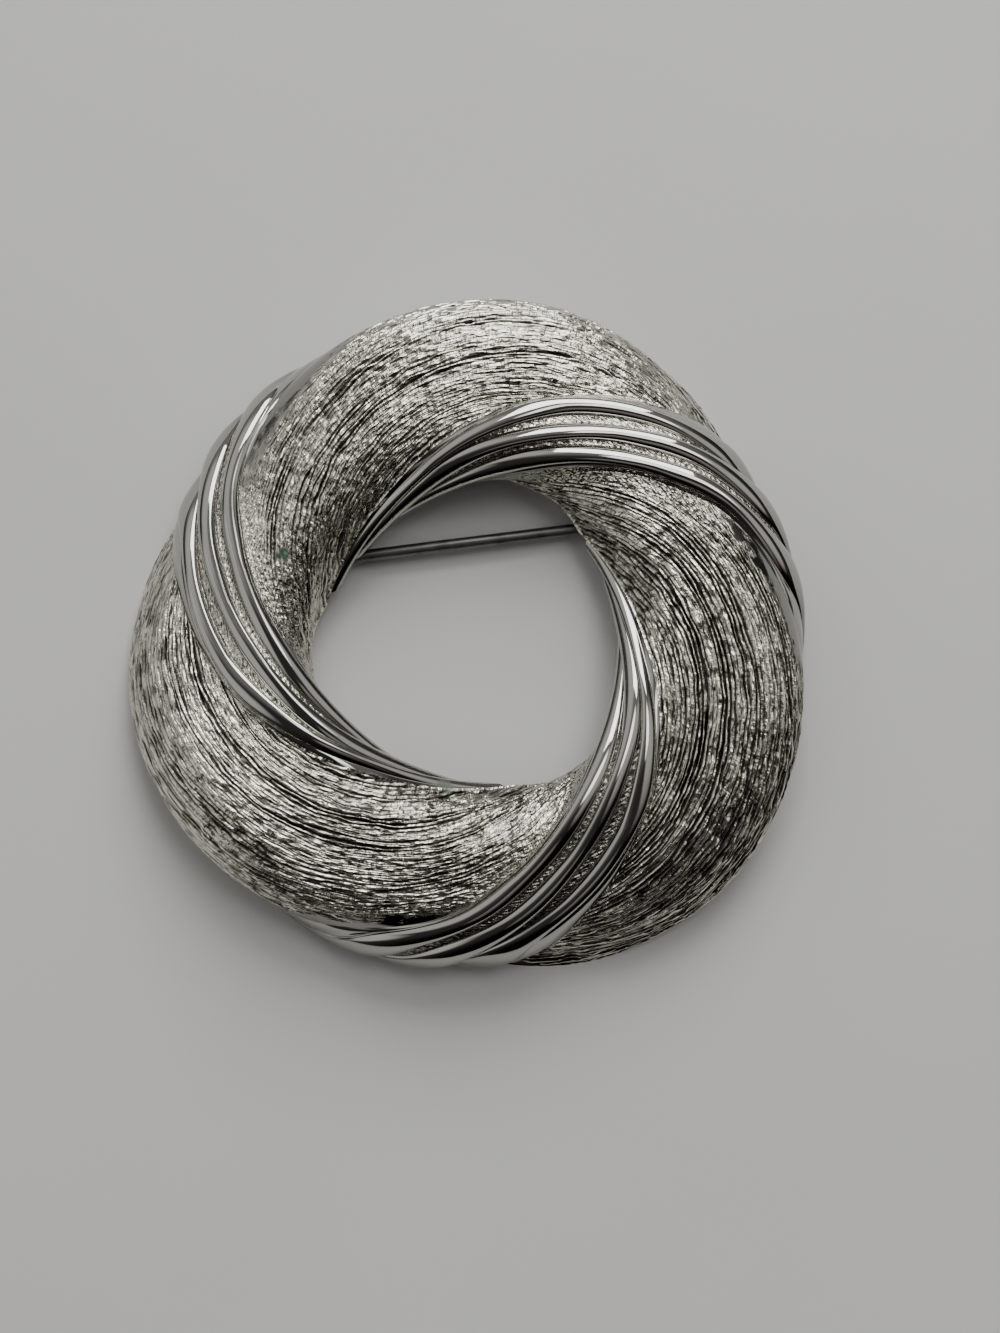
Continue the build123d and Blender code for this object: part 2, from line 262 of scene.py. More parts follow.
@dataclass
class StrandPiece:
    """One form of a strand, as a closed wall: its face, its part of the hollow and its sides.

    Its face is laid out in rows across the strand, from the outer rim over the crown to the
    inner rim, and in columns that run with the strand. No operator twists a section round a
    tube while it changes, so the rows are worked out from the strand's lines instead.
    """

    tube: TwistedTube
    name: str
    strand: int
    work: StrandWork
    seed: int
    rows: int = 471
    columns: int = 191
    block: int = 10
    outer_search: Pair = (-60.0, 0.0)
    inner_search: Pair = (175.0, 230.0)
    ragged_cell: Pair = (0.5 * MM, 0.5 * MM)
    patch_grain: float = 0.26 * MM
    patch_depth: float = 0.08 * MM

    def ring_angle(self, column: Field, tube_angle: Field) -> Field:
        """Ring angle of a column, a share from 0 to 1, behind the strand's own notch."""
        raise NotImplementedError

    def distance(self, column: Field, tube_angle: Field) -> Field:
        """Smooth reach of the face, without its fine relief."""
        raise NotImplementedError

    def relief(self, column: Field, tube_angle: Field, uv: Field) -> Relief:
        """Fine relief.

        Args:
            column: Share across the piece of each place.
            tube_angle: Tube angle of each place.
            uv: Lengths round the ring and round the section.

        Returns:
            Change of reach, how deep and how dark each place lies, its darkness being patina
            together with painted shade in the hollows, and how far it is tooled and not polished.
            The last two run from 0 to 1.
        """
        raise NotImplementedError

    def chart(self, uv: Field) -> Field:
        """Lengths that the finish follows."""
        return uv

    def cloud(self, uv: Field, cell: Pair, pattern: int) -> Field:
        """One of the piece's own noise patterns, with cells of these two lengths."""
        return value_noise(uv[..., 0] / cell[0], uv[..., 1] / cell[1], self.seed + pattern)

    def pebbled(self, uv: Field, patch: Field) -> tuple[Field, Field]:
        """How deep and how dark each place of a pebbled patch is."""
        grain = grains(uv, self.patch_grain, self.seed + 8)
        # darkness between the grains: patina together with painted shade
        return self.patch_depth * (1 - grain) * patch, self.work.patch * (1.1 - grain) * patch

    def rim(self, column: Field, search: Pair, height: float) -> Field:
        """Tube angle, for each column, at which the face reaches a height."""
        low_angle = np.full(column.shape, search[0])
        high_angle = np.full(column.shape, search[1])
        falling = search[1] > 90
        for _ in range(40):
            middle = (low_angle + high_angle) / 2
            above = self.tube.height(middle, self.distance(column, middle)) > height
            go_up = above if falling else ~above
            low_angle = np.where(go_up, middle, low_angle)
            high_angle = np.where(go_up, high_angle, middle)
        return (low_angle + high_angle) / 2

    def face_angles(self, column: Field) -> Field:
        """Tube angles of the face, rows by columns, evenly spaced along the strand."""
        first = self.rim(column, self.outer_search, 0.0)
        last = self.rim(column, self.inner_search, self.tube.inner_rim_height)
        probe = np.linspace(float(first.mean()), float(last.mean()), 400)
        middle = np.full(probe.shape, 0.5)
        reach = self.distance(middle, probe)
        path = self.tube.place(self.ring_angle(middle, probe),
                               self.tube.radius(probe, reach), self.tube.height(probe, reach))
        walked = np.concatenate(([0.0], np.cumsum(np.linalg.norm(np.diff(path, axis=0), axis=1))))
        share = np.interp(np.linspace(0, walked[-1], self.rows), walked,
                          np.linspace(0.0, 1.0, len(probe)))
        return first[None, :] + (last - first)[None, :] * share[:, None]

    def build(self) -> Piece:
        """Builds the closed piece.

        Returns:
            The object, with its place in its mesh, a UV map in millimetres round the ring and
            round the section, a "depth" attribute that is 1 in the deepest cuts and carries the
            painted darkness, patina together with painted shade, and a "worked" attribute that
            is 0 where the metal is polished.
        """
        column = np.linspace(0.0, 1.0, self.columns)
        angle = self.face_angles(column)
        across = np.broadcast_to(column, angle.shape)
        turn = -360 / self.tube.strands * self.strand
        ring = self.ring_angle(across, angle) + turn
        smooth = self.distance(across, angle)
        uv = np.stack((np.radians(ring - turn) * self.tube.mid_radius,
                       self.tube.walked(angle)), axis=-1)
        change, depth, worked = self.relief(across, angle, uv)
        reach = smooth + change
        face = self.tube.place(ring, self.tube.radius(angle, reach),
                               self.tube.height(angle, reach))
        under = self.under_face(ring, angle)
        mesh = self.close(face, under)
        self.store(mesh, self.chart(uv) / MM, {"depth": depth, "worked": worked}, under.shape[:2])
        return put_in_scene(self.name, mesh)

    def under_face(self, ring: Field, angle: Field) -> Field:
        """Points of the hollow under the face, on fewer rows and columns."""
        ring = ring[::self.block, ::self.block]
        angle = angle[::self.block, ::self.block]
        first, last = self.tube.hollow_first, self.tube.hollow_last
        held = np.clip(angle, first, last)
        reach = self.tube.hollow_distance(ring, held)
        foot = np.clip((angle - angle[:1]) / (first - angle[:1]), 0, 1)
        lip = np.clip((angle - last) / (angle[-1:] - last), 0, 1)
        height = self.tube.height(held, reach) * foot
        height = height + (self.tube.inner_rim_height - height) * lip
        return self.tube.place(ring, self.tube.radius(held, reach), height)

    def close(self, face: Field, under: Field) -> bpy.types.Mesh:
        """Joins the face and the hollow by the two rims and the two sides."""
        count = face[..., 0].size
        top = np.arange(count).reshape(face.shape[:2])
        low = count + np.arange(under[..., 0].size).reshape(under.shape[:2])
        a, b, c, d = top[:-1, :-1], top[1:, :-1], top[1:, 1:], top[:-1, 1:]
        first = np.stack((a, b, d), axis=-1).reshape(-1, 3)
        second = np.stack((b, c, d), axis=-1).reshape(-1, 3)
        polygons = np.stack((first, second), axis=1).reshape(-1, 3).tolist()
        e, f, g, h = low[:-1, :-1], low[:-1, 1:], low[1:, 1:], low[1:, :-1]
        polygons += np.stack((e, f, g, h), axis=-1).reshape(-1, 4).tolist()
        for edge, foot in ((top[0], low[0]), (top[-1, ::-1], low[-1, ::-1]),
                           (top[::-1, 0], low[::-1, 0]), (top[:, -1], low[:, -1])):
            for i in range(len(foot) - 1):
                part = edge[i * self.block:(i + 1) * self.block + 1]
                polygons.append([*part.tolist(), int(foot[i + 1]), int(foot[i])])
        mesh = bpy.data.meshes.new(self.name)
        points = np.concatenate((face.reshape(-1, 3), under.reshape(-1, 3)))
        mesh.from_pydata(points.tolist(), [], polygons)
        mesh.update()
        return mesh

    def store(self, mesh: bpy.types.Mesh, uv: Field, fields: dict[str, Field],
              under_shape: tuple[int, int]) -> None:
        """Writes the UV map, the fields and the two finishes, and keeps the rims crisp."""
        spare = under_shape[0] * under_shape[1]
        flat_uv = np.concatenate((uv.reshape(-1, 2), np.zeros((spare, 2))))
        corners = np.zeros(len(mesh.loops), np.int32)
        mesh.loops.foreach_get("vertex_index", corners)
        layer = mesh.uv_layers.new(name="strand")
        layer.uv.foreach_set("vector", flat_uv[corners].astype(np.float32).ravel())
        for name, field in fields.items():
            values = np.concatenate((field.reshape(-1), np.zeros(spare)))
            attribute = mesh.attributes.new(name, "FLOAT", "POINT")
            attribute.data.foreach_set("value", values.astype(np.float32))
        rows, count = uv.shape[:2]
        outside = 2 * (rows - 1) * (count - 1)
        hollow = (under_shape[0] - 1) * (under_shape[1] - 1)
        number = np.arange(len(mesh.polygons))
        mesh.polygons.foreach_set("material_index", (number >= outside).astype(np.int32))
        mesh.polygons.foreach_set("use_smooth", number < outside + hollow)
        edges = np.zeros(len(mesh.loops), np.int32)
        mesh.loops.foreach_get("edge_index", edges)
        sharp = np.zeros(len(mesh.edges), bool)
        sharp[edges[3 * outside + 4 * hollow:]] = True
        attribute = mesh.attributes.new("sharp_edge", "BOOLEAN", "EDGE")
        attribute.data.foreach_set("value", sharp)


@dataclass
class Lobe(StrandPiece):
    """An engraved lobe, rounded over its crest, from a band's seam to the next notch."""

    line_pitch: float = 0.37 * MM
    line_depth: float = 0.19 * MM
    scratch_pitch: float = 0.17 * MM
    scratch_depth: float = 0.08 * MM
    scratch_slant: float = 5.0 * MM
    chatter_depth: float = 0.09 * MM
    # painted shade on the lobe's polished start, greying its mirror
    polished_painted_shade: float = 0.35
    scratch_shade: float = 0.3

    # lengths of the patterns that vary the lines
    wander_cell: Pair = (7.0 * MM, 2.4 * MM)
    quiver_cell: Pair = (1.5 * MM, 0.5 * MM)
    gloom_cell: Pair = (2.3 * MM, 1.2 * MM)
    chip_cell: Pair = (0.32 * MM, 0.16 * MM)
    cut_run: float = 2.6 * MM
    dash_run: float = 0.65 * MM
    scratch_run: float = 1.1 * MM

    # slope of the lines at lengths round the ring, and share of the face that starts plain
    slope_places: tuple[float, ...] = (-10 * MM, 2 * MM, 10 * MM, 28 * MM)
    slopes: tuple[float, ...] = (0.50, 0.46, 0.36, 0.31)
    start_angles: tuple[float, ...] = (0, 30, 60, 90, 120, 150, 180)
    starts: tuple[float, ...] = (0.02, 0.15, 0.09, 0.05, 0.05, 0.03, 0.0)
    pebbled_from: Pair = (45.0, 75.0)

    def ring_angle(self, column: Field, tube_angle: Field) -> Field:
        """Ring angle of a column between the seam (0) and the next notch (1)."""
        seam = Line.SEAM.ring_angle(tube_angle)
        notch = Line.NOTCH.ring_angle(tube_angle) - 360 / self.tube.strands
        return seam + (notch - seam) * column

    def distance(self, column: Field, tube_angle: Field) -> Field:
        """Reach of the lobe, a quarter wave up to its crest and one down from it."""
        crest = self.tube.reach(Line.CREST, tube_angle)
        seam = self.tube.reach(Line.SEAM, tube_angle)
        notch = self.tube.reach(Line.NOTCH, tube_angle)
        low = np.where(column < 0.5, seam, notch)
        return low + (crest - low) * np.sin(np.pi * column)

    def drift(self, round_ring: Field) -> Field:
        """How far the lines have moved round the section, at each length round the ring."""
        places = np.linspace(-30 * MM, 50 * MM, 400)
        slopes = np.interp(places, self.slope_places, self.slopes)
        moved = np.concatenate(([0.0], np.cumsum(slopes[1:] * np.diff(places))))
        return np.interp(-round_ring, places, moved)

    def chart(self, uv: Field) -> Field:
        """Lengths along the engraved lines and across them."""
        return np.stack((uv[..., 0], uv[..., 1] + self.drift(uv[..., 0])), axis=-1)

    def engraving(self, chart: Field, tube_angle: Field) -> tuple[Field, Field]:
        """The engraved lines, with dashes and fine scratches.

        Returns:
            How deep each place is cut, and how dark it is from 0 to 1, a darkness that is patina
            together with painted shade in the cuts.
        """
        along, level = chart[..., 0], chart[..., 1]
        wander = self.cloud(chart, self.wander_cell, 0) - 0.5
        quiver = self.cloud(chart, self.quiver_cell, 1) - 0.5
        line = level / self.line_pitch + 1.1 * wander + 0.6 * quiver
        number = np.floor(line)
        valley = 1 - np.sin(np.pi * (line - number))
        strength = value_noise(along / self.cut_run, number * 7.3, self.seed + 2)
        own = hashed(number, number * 0, self.seed + 3)
        strength = (0.5 + 0.9 * strength) * (0.25 + 1.3 * own**2)
        strength = strength * (0.6 + 0.8 * self.cloud(chart, self.gloom_cell, 9))
        dashes = value_noise(along / self.dash_run, number * 3.7, self.seed + 4)
        dashes = steps(0.42, 0.72, dashes)
        crossing = self.cloud(chart, self.chip_cell, 5)

        scratch = level / self.scratch_pitch + along / self.scratch_slant + 1.6 * quiver
        scratch_number = np.floor(scratch)
        held = value_noise(along / self.scratch_run, scratch_number * 5.1, self.seed + 7)
        fine = steps(0.35, 0.70, held) * (1 - np.sin(np.pi * (scratch - scratch_number)))

        steep = 1 + 0.5 * steps(50, 0, tube_angle) + 0.3 * steps(120, 160, tube_angle)
        cut = self.line_depth * strength * valley * steep + self.scratch_depth * fine
        chip = self.chatter_depth * (dashes * (1.3 - valley) + crossing * 0.45)
        # painted darkness of the cuts: patina together with painted shade, darkest in the valleys
        dark = (strength * valley * self.work.line + self.work.dash * dashes
                + self.scratch_shade * fine)
        return cut + chip, np.clip(dark, 0, 1)

    def relief(self, column: Field, tube_angle: Field, uv: Field) -> Relief:
        """Engraved lines that climb with the strand, from a polished or pebbled start."""
        chart = self.chart(uv)
        cut, dark = self.engraving(chart, tube_angle)
        start = self.work.smooth_start * np.interp(tube_angle, self.start_angles, self.starts)
        ragged = self.cloud(chart, self.ragged_cell, 6) - 0.5
        lines_in = steps(0.0, 0.07, column - start + 0.07 * ragged)
        inner = steps(*self.pebbled_from, tube_angle + 30 * ragged)
        rows = np.linspace(0, 1, column.shape[0])[:, None]
        edges = steps(1.0, 0.99, column) * steps(0.0, 0.012, rows) * steps(1.0, 0.988, rows)
        pits, shade = self.pebbled(uv, (1 - lines_in) * inner * steps(0.0, 0.01, column))
        # patina and painted shade in the lines, and painted shade on the polished start
        depth = dark * lines_in + self.polished_painted_shade * (1 - lines_in) * (1 - inner)
        return (-(cut * lines_in + pits) * edges, (depth + shade) * edges,
                np.maximum(lines_in, inner))


@dataclass
class Band(StrandPiece):
    """A band of three polished ribs with pebbled grooves and a smooth flank."""

    rib_rise: float = 0.55 * MM
    rib_share: float = 0.72
    flank_swell: float = 0.12 * MM
    groove_dip: float = 0.10 * MM
    pebble: float = 0.24 * MM
    pebble_rise: float = 0.08 * MM
    wave_rise: float = 0.012 * MM
    patchy_cell: Pair = (1.0 * MM, 1.7 * MM)
    wave_cell: Pair = (1.1 * MM, 3.5 * MM)

    # the first rib is lower at the outer edge, and the flank starts with a soft roll
    near_fade: float = 0.75
    fade_angles: Pair = (10.0, 60.0)
    soft_place: float = 0.22
    soft_width: float = 0.12
    soft_share: float = 0.8

    # darkness: painted shade in the step and beside the ribs, the line on the flank, and painted
    # shade at the outer ends
    step_painted_shade: float = 0.6
    beside_rib_painted_shade: float = 0.9
    line_shade: float = 0.85
    line_place: float = 0.11
    outer_end_painted_shade: float = 0.42

    # columns of the step, of each rib and groove in turn, and of the flank
    stretches: tuple[int, ...] = (12, 22, 10, 22, 10, 22, 32)

    def __post_init__(self) -> None:
        """Counts the columns."""
        self.columns = 1 + sum(self.stretches)

    def marks(self, tube_angle: Field) -> tuple[list[Field], list[Field]]:
        """Ring angles and reaches of the edges: notch, two for each rib, and seam."""
        ribs = (Line.RIB_A, Line.RIB_B, Line.RIB_C)
        beside = (Line.RIB_B, Line.RIB_C, Line.RIB_B)
        fade = self.near_fade * (1 - steps(*self.fade_angles, np.abs(tube_angle)))
        angles = [Line.NOTCH.ring_angle(tube_angle)]
        reaches = [self.tube.reach(Line.NOTCH, tube_angle)]
        for rib, other in zip(ribs, beside):
            top = rib.ring_angle(tube_angle)
            half = self.rib_share / 2 * np.abs(top - other.ring_angle(tube_angle))
            near = self.rib_rise * (1 - fade) if rib is Line.RIB_A else self.rib_rise
            reach = self.tube.reach(rib, tube_angle)
            angles += [top + half, top - half]
            reaches += [reach - near, reach - self.rib_rise]
        angles.append(Line.SEAM.ring_angle(tube_angle))
        reaches.append(self.tube.reach(Line.SEAM, tube_angle))
        return angles, reaches

    def stations(self) -> Field:
        """Column shares of the marks."""
        return np.concatenate(([0], np.cumsum(self.stretches))) / (self.columns - 1)

    def split(self, column: Field) -> tuple[Field, Field]:
        """Which stretch between two marks a column lies in, and its share of that stretch."""
        places = self.stations()
        stretch = np.clip(np.searchsorted(places, column + 1e-9, side="right") - 1,
                          0, len(places) - 2)
        share = (column - places[stretch]) / (places[stretch + 1] - places[stretch])
        return stretch, np.where(stretch % 2 == 1, (1 - np.cos(np.pi * share)) / 2, share)

    def between(self, values: list[Field], stretch: Field, share: Field) -> Field:
        """Straight blend of values given at the marks."""
        stacked = np.stack([np.broadcast_to(v, stretch.shape) for v in values])
        start = np.take_along_axis(stacked, stretch[None], axis=0)[0]
        end = np.take_along_axis(stacked, stretch[None] + 1, axis=0)[0]
        return start + (end - start) * share

    def ring_angle(self, column: Field, tube_angle: Field) -> Field:
        """Ring angle of a column between the notch (0) and the seam (1)."""
        column, tube_angle = np.broadcast_arrays(column, tube_angle)
        stretch, share = self.split(column)
        return self.between(self.marks(tube_angle)[0], stretch, share)

    def distance(self, column: Field, tube_angle: Field) -> Field:
        """Reach of the band: rolls over the ribs, dips in the grooves, a swelling flank."""
        column, tube_angle = np.broadcast_arrays(column, tube_angle)
        stretch, share = self.split(column)
        reaches = self.marks(tube_angle)[1]
        straight = self.between(reaches, stretch, share)
        result = straight
        for number, rib in ((1, Line.RIB_A), (3, Line.RIB_B), (5, Line.RIB_C)):
            middle = (reaches[number] + reaches[number + 1]) / 2
            height = self.tube.reach(rib, tube_angle) - middle
            roll = np.sqrt(np.clip(1 - (2 * share - 1) ** 2, 0, 1))
            result = np.where(stretch == number, straight + height * roll, result)
        bow = np.sin(np.pi * share)
        dips = (stretch == 2) | (stretch == 4)
        result = np.where(dips, straight - self.groove_dip * bow, result)
        rolled = reaches[0] + (reaches[1] - reaches[0]) * np.sin(np.pi / 2 * share)
        result = np.where(stretch == 0, rolled, result)
        soft = np.exp(-((share - self.soft_place) / self.soft_width) ** 2)
        soft = self.soft_share * soft * steps(0, 0.1, share)
        flank = straight + self.flank_swell * (bow + soft)
        return np.where(stretch == 6, flank, result)

    def relief(self, column: Field, tube_angle: Field, uv: Field) -> Relief:
        """Pebbles in the grooves and on the flank's inner part, faint waves elsewhere."""
        stretch, share = self.split(column)
        in_groove = (stretch == 2) | (stretch == 4)
        on_flank = stretch == 6
        grain = grains(uv, self.pebble, self.seed)
        patchy = self.cloud(uv, self.patchy_cell, 5)
        rows = np.linspace(0, 1, column.shape[0])[:, None]
        ends = steps(0.0, 0.10, rows) * steps(1.0, 0.98, rows)
        bow = np.sin(np.pi * share)
        rise = self.pebble_rise * grain * (0.45 + 0.55 * patchy) * np.clip(bow * 1.6, 0, 1)
        wave = self.wave_rise * self.cloud(uv, self.wave_cell, 9) * bow
        change = np.where(in_groove, rise, -wave) * ends

        # painted darkness: patina with painted shade between the pebbles, painted shade in the
        # step, beside the ribs and towards the outer ends
        depth = np.where(in_groove, np.clip(self.work.groove - 0.7 * grain, 0, 1), 0.0)
        near_step = (stretch == 0) * steps(0.55, 0.0, share)
        beside_rib = in_groove * steps(0.22, 0.05, np.minimum(share, 1 - share))
        fine_line = np.exp(-((share - self.line_place) / self.work.line_width) ** 2)
        for dark in (self.step_painted_shade * near_step, self.beside_rib_painted_shade * beside_rib,
                     self.line_shade * fine_line * on_flank * ends,
                     self.outer_end_painted_shade * steps(30, -10, tube_angle)):
            depth = np.maximum(depth, dark)

        ragged = self.cloud(uv, self.ragged_cell, 6) - 0.5
        patch = on_flank * steps(0.42, 0.55, share + 0.2 * ragged) * ends
        patch = patch * steps(70, 105, tube_angle + 30 * ragged)
        pits, shade = self.pebbled(uv, patch)
        change = change - pits * steps(1.0, 0.97, share)
        return change, depth + shade, np.maximum(in_groove * ends, patch)


@dataclass(frozen=True)
class Sock:
    """A shader socket that takes part in arithmetic and adds Math nodes as it does."""

    tree: "Tree"
    socket: bpy.types.NodeSocket

    def maths(self, operation: str, *values: "Sock | float") -> "Sock":
        """Adds one Math node."""
        return self.tree.node("Math", dict(enumerate(values)), operation=operation)

    def __add__(self, other: "Sock | float") -> "Sock":
        """Sum."""
        return self.maths("ADD", self, other)

    def __radd__(self, other: float) -> "Sock":
        """Sum, from the right."""
        return self.maths("ADD", other, self)

    def __sub__(self, other: "Sock | float") -> "Sock":
        """Difference."""
        return self.maths("SUBTRACT", self, other)

    def __rsub__(self, other: float) -> "Sock":
        """Difference, from the right."""
        return self.maths("SUBTRACT", other, self)

    def __mul__(self, other: "Sock | float") -> "Sock":
        """Product."""
        return self.maths("MULTIPLY", self, other)

    def __rmul__(self, other: float) -> "Sock":
        """Product, from the right."""
        return self.maths("MULTIPLY", other, self)

    def clamp(self) -> "Sock":
        """Held between 0 and 1."""
        return self.maths("MINIMUM", self.maths("MAXIMUM", self, 0.0), 1.0)

    def rise(self, low: float, high: float) -> "Sock":
        """Smooth step from 0 at low to 1 at high."""
        return self.tree.node("MapRange", {"Value": self, "From Min": low, "From Max": high},
                              interpolation_type="SMOOTHSTEP")


class Tree:
    """A node tree that is built one node at a time."""

    def __init__(self, owner: bpy.types.Material | bpy.types.World) -> None:
        """Clears the owner's nodes."""
        owner.use_nodes = True
        self.nodes = owner.node_tree.nodes
        self.links = owner.node_tree.links
        self.nodes.clear()

    def node(self, kind: str, inputs: Inputs, output: str | int = 0,
             **settings: str) -> Sock:
        """Adds a node.

        Args:
            kind: The node's type.
            inputs: Values or sockets for its inputs, by name or number.
            output: The output that is returned.
            settings: Its properties.

        Returns:
            That output.
        """
        made = self.nodes.new("ShaderNode" + kind)
        for key, value in settings.items():
            setattr(made, key, value)
        for key, value in inputs.items():
            if isinstance(value, Sock):
                self.links.new(value.socket, made.inputs[key])
            else:
                made.inputs[key].default_value = value
        return Sock(self, made.outputs[output])

    def noise(self, place: Sock, scale: float, detail: float = 3.0,
              roughness: float = 0.55) -> Sock:
        """Noise from 0 to 1 at a place."""
        return self.node("TexNoise", {"Vector": place, "Scale": scale, "Detail": detail,
                                      "Roughness": roughness})

    def stretched(self, place: Sock, x: float, y: float) -> Sock:
        """A place with its first two axes scaled."""
        return self.node("Mapping", {"Vector": place, "Scale": (x, y, 1.0)})

    def cells(self, place: Sock, scale: float) -> Sock:
        """Distance from the nearest of many scattered points."""
        return self.node("TexVoronoi", {"Vector": place, "Scale": scale})

    def mix(self, factor: Sock | float, first: object, second: object) -> Sock:
        """Mixes two colours."""
        return self.node("Mix", {0: factor, 6: first, 7: second}, 2, data_type="RGBA")

    def bump(self, strength: float, distance: float, height: Sock) -> Sock:
        """Relief too fine for the mesh."""
        return self.node("Bump", {"Strength": strength, "Distance": distance,
                                  "Height": height})

    def end(self, shader: Sock, kind: str) -> None:
        """Adds the output node."""
        made = self.nodes.new("ShaderNodeOutput" + kind)
        self.links.new(shader.socket, made.inputs["Surface"])


@dataclass(frozen=True)
class Finish:
    """A finish that builds its own material."""

    name: str

    def make(self) -> bpy.types.Material:
        """Builds the material."""
        material = bpy.data.materials.new(self.name)
        tree = Tree(material)
        place = tree.node("TexCoord", {}, "Object")
        tree.end(tree.node("BsdfPrincipled", self.inputs(tree, place)), "Material")
        return material

    def inputs(self, tree: Tree, place: Sock) -> Inputs:
        """Inputs of the shader, from the place in the model's frame."""
        raise NotImplementedError


@dataclass(frozen=True)
class Stain:
    """A green spot of corrosion."""

    centre: Triple
    radius: float
    strength: float


@dataclass(frozen=True)
class WorkedSilver(Finish):
    """Plated casting: a mirror where it is polished, bright ridges and grey cuts elsewhere."""

    name: str = "worked_silver"
    polished: Colour = (0.48, 0.475, 0.445, 1.0)
    ridge: Colour = (0.93, 0.905, 0.79, 1.0)
    # cut: near-black of the hollows, patina together with painted shade
    cut: Colour = (0.042, 0.038, 0.033, 1.0)
    stains: tuple[Stain, ...] = (
        Stain((-12.95 * MM, 7.25 * MM, 6.6 * MM), 0.62 * MM, 0.9),
        Stain((-3.3 * MM, -10.7 * MM, 4.2 * MM), 0.9 * MM, 0.5),
    )
    verdigris: Colour = (0.03, 0.10, 0.05, 1.0)

    def inputs(self, tree: Tree, place: Sock) -> Inputs:
        """Bright ridges, dark cuts, haze, facets and green spots."""
        strand = tree.node("TexCoord", {}, "UV")
        depth = tree.node("Attribute", {}, "Fac", attribute_name="depth")
        worked = tree.node("Attribute", {}, "Fac", attribute_name="worked")
        fine = tree.noise(tree.stretched(strand, 1.2, 6.0), 2.2, 4.0, 0.65)
        patch = tree.noise(place, 260.0)
        haze = tree.noise(place, 420.0, 4.0, 0.6)
        drawn = tree.noise(tree.stretched(strand, 0.6, 0.6), 3.0, 3.0, 0.6)
        # patina and painted shade in the cuts, grooves and creases, from the depth attribute,
        # with random dull patches on the tooled metal
        patina_and_shade = (depth * 1.1 + (patch - 0.5) * 0.4 * worked).clamp()
        colour = tree.mix(worked, self.polished, self.ridge)
        colour = tree.mix(patina_and_shade, colour, self.cut)
        roughness = 0.045 + haze.rise(0.52, 0.75) * 0.06 + depth * 0.16
        roughness = roughness + worked * (0.02 + fine * 0.08)
        stain_mask = self.stained(tree, place)
        colour = tree.mix(stain_mask, colour, self.verdigris)
        roughness = roughness + stain_mask * 0.45
        chatter = tree.noise(tree.stretched(strand, 2.6, 1.0), 1.8, 2.0, 0.6)
        facets = tree.cells(tree.stretched(strand, 1.0, 2.6), 1.9)
        height = (chatter + facets * 1.2) * worked + drawn * 0.03
        return {"Base Color": colour, "Metallic": 1.0 - stain_mask * 0.85,
                "Roughness": roughness.clamp(), "Normal": tree.bump(1.0, 0.06 * MM, height)}

    def stained(self, tree: Tree, place: Sock) -> Sock:
        """Mask of the green spots, ragged at their edges."""
        ragged = tree.noise(place, 1900.0, 3.0, 0.7)
        total: Sock | float = 0.0
        for stain in self.stains:
            away = tree.node("VectorMath", {0: place, 1: stain.centre}, "Value",
                             operation="DISTANCE")
            near = (away * (1 / stain.radius) + (ragged - 0.5) * 1.9).rise(1.0, 0.35)
            total = near * stain.strength + total
        return total


@dataclass(frozen=True)
class CastBack(Finish):
    """Plated casting as it left the mould, with a fine grain and dull spots."""

    name: str = "cast_back"
    metal: Colour = (0.66, 0.655, 0.64, 1.0)
    dull: Colour = (0.53, 0.515, 0.485, 1.0)

    def inputs(self, tree: Tree, place: Sock) -> Inputs:
        """Clouds, grain and small pits."""
        cloud = tree.noise(place, 380.0, 4.0)
        grain = tree.noise(place, 3800.0, 3.0, 0.7)
        pits = tree.cells(place, 1500.0)
        colour = tree.mix(cloud.rise(0.42, 0.72), self.metal, self.dull)
        roughness = 0.26 + cloud * 0.14 + grain * 0.10
        height = grain * 0.6 + pits.rise(0.0, 0.5) * 0.5
        return {"Base Color": colour, "Metallic": 1.0, "Roughness": roughness,
                "Normal": tree.bump(0.35, 0.05 * MM, height)}


@dataclass(frozen=True)
class DrawnWire(Finish):
    """Steel wire with the fine lines of drawing along it, painted darker for the shade it lies
    in.
    """

    name: str = "drawn_wire"
    # Both colours of the wire are painted darker for the shade it lies in under the ring.
    steel_painted_shade: Colour = (0.22, 0.22, 0.21, 1.0)
    worn_painted_shade: Colour = (0.11, 0.105, 0.10, 1.0)

    def inputs(self, tree: Tree, place: Sock) -> Inputs:
        """Fine lines along the wire, with places of wear."""
        lines = tree.noise(tree.stretched(place, 0.02, 1.0), 9000.0, 3.0, 0.6)
        cloud = tree.noise(place, 520.0)
        colour = tree.mix(cloud.rise(0.45, 0.75), self.steel_painted_shade, self.worn_painted_shade)
        roughness = 0.28 + lines * 0.14 + cloud * 0.08
        return {"Base Color": colour, "Metallic": 1.0, "Roughness": roughness,
                "Normal": tree.bump(0.25, 0.01 * MM, lines)}


@dataclass(frozen=True)
class PaleBoard(Finish):
    """A smooth, pale surface under the brooch."""

    name: str = "pale_board"
    pale: Colour = (0.78, 0.78, 0.765, 1.0)
    faint: Colour = (0.755, 0.755, 0.742, 1.0)

    def inputs(self, tree: Tree, place: Sock) -> Inputs:
        """Faint clouds and a fine grain."""
        cloud = tree.noise(place, 16.0)
        grain = tree.noise(place, 1400.0, 2.0)
        colour = tree.mix(cloud.rise(0.4, 0.7), self.pale, self.faint)
        return {"Base Color": colour, "Roughness": 0.55 + grain * 0.1,
                "Normal": tree.bump(0.05, 0.02 * MM, grain)}


def only(*objects: Piece) -> None:
    """Selects these objects alone and makes the first one active."""
    bpy.ops.object.select_all(action="DESELECT")
    for item in objects:
        item.select_set(True)
    bpy.context.view_layer.objects.active = objects[0]


def settled(name: str) -> Piece:
    """Names the primitive just added and applies its place, turn and size."""
    piece = bpy.context.active_object
    piece.name = name
    bpy.ops.object.transform_apply(location=True, rotation=True, scale=True)
    return piece


